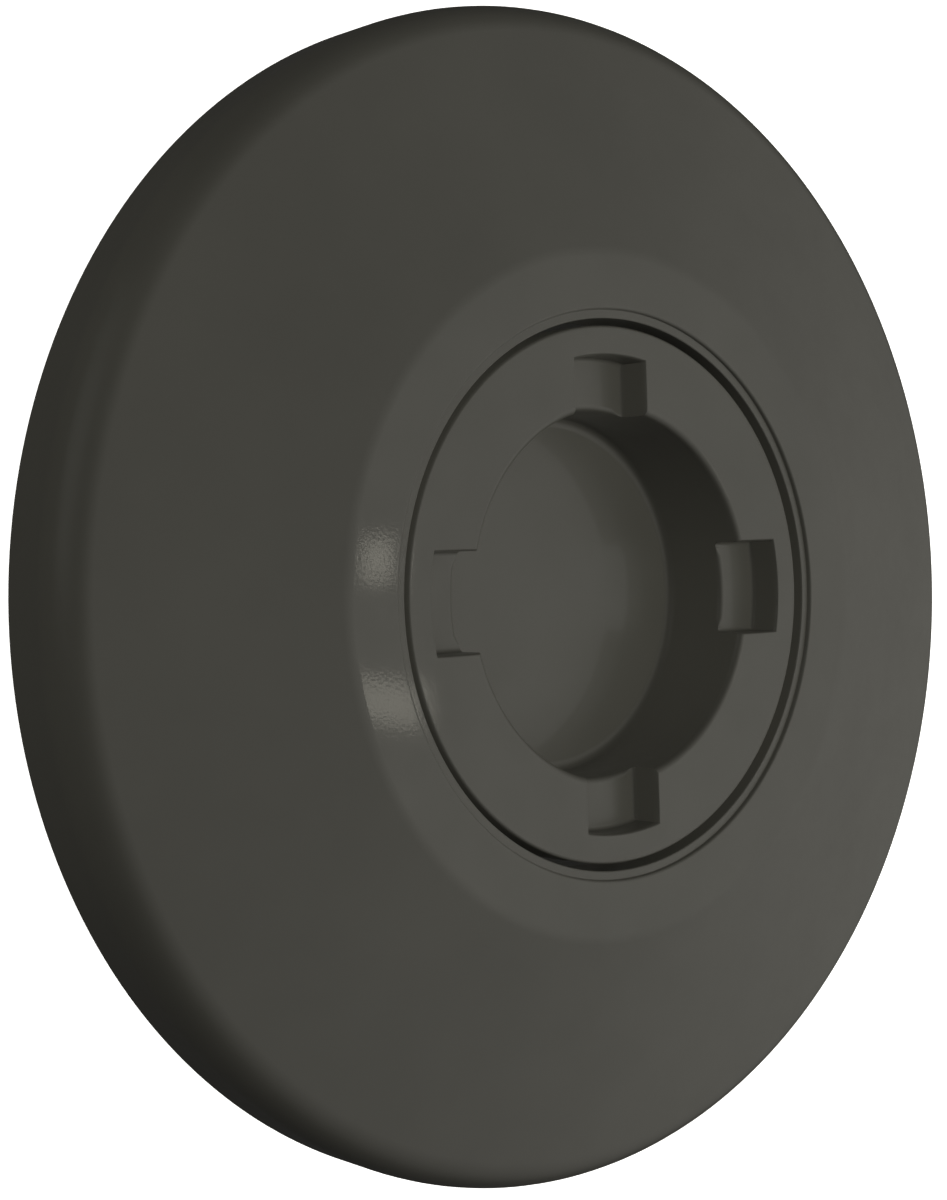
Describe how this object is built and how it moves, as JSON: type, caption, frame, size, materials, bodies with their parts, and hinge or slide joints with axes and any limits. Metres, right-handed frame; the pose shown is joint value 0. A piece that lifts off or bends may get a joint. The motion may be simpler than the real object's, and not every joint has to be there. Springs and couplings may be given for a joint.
{
  "type": "round access cover with screw plug",
  "caption": "Round domed plastic access cover: a push-on shell over a screwed-down base plate, with a recessed screw plug turned by spanner pockets.",
  "frame": {"origin": "on the plug's axis, in the plane of the surface that the cover is screwed to (the gasket's underside)", "axes": "+Z along the plug's axis, out of the visible face; +X through the first fixing screw"},
  "size_m": [0.15, 0.15, 0.0419],
  "materials": {
    "cover_plastic": "satin moulded ABS, dark olive grey",
    "base_plastic": "glass-filled nylon, black-grey",
    "rubber": "matt EPDM rubber",
    "slip_plastic": "natural acetal",
    "stainless": "turned stainless steel"
  },
  "bodies": {
    "base": {"base_plate": "base_plastic", "base_gasket": "rubber", "grip_ring": "rubber", "fixing_screw_1": "stainless", "fixing_screw_2": "stainless", "fixing_screw_3": "stainless", "fixing_screw_4": "stainless", "fixing_screw_5": "stainless", "fixing_screw_6": "stainless", "screw_washer_1": "stainless", "screw_washer_2": "stainless", "screw_washer_3": "stainless", "screw_washer_4": "stainless", "screw_washer_5": "stainless", "screw_washer_6": "stainless"},
    "cover": {"cover_shell": "cover_plastic", "rim_seal": "rubber"},
    "plug_seal": {"plug_oring": "rubber", "slip_washer": "slip_plastic"},
    "plug": {"plug_body": "cover_plastic"}
  },
  "joints": [
    {"name": "cover_lift", "type": "slide", "parent": "base", "child": "cover", "axis": [0, 0, 1], "range_m": [0, 0.025]},
    {"name": "plug_lift", "type": "slide", "parent": "base", "child": "plug_seal", "axis": [0, 0, 1], "range_m": [0, 0.0093]},
    {"name": "plug_turn", "type": "hinge", "parent": "plug_seal", "child": "plug", "pos_m": [0, 0, 0.0125], "axis": [0, 0, 1], "range_deg": [0, 1440]}
  ],
  "couplings": [
    {"joint": "plug_lift", "follows": "plug_turn", "m_per_rad": 0.00036749}
  ]
}
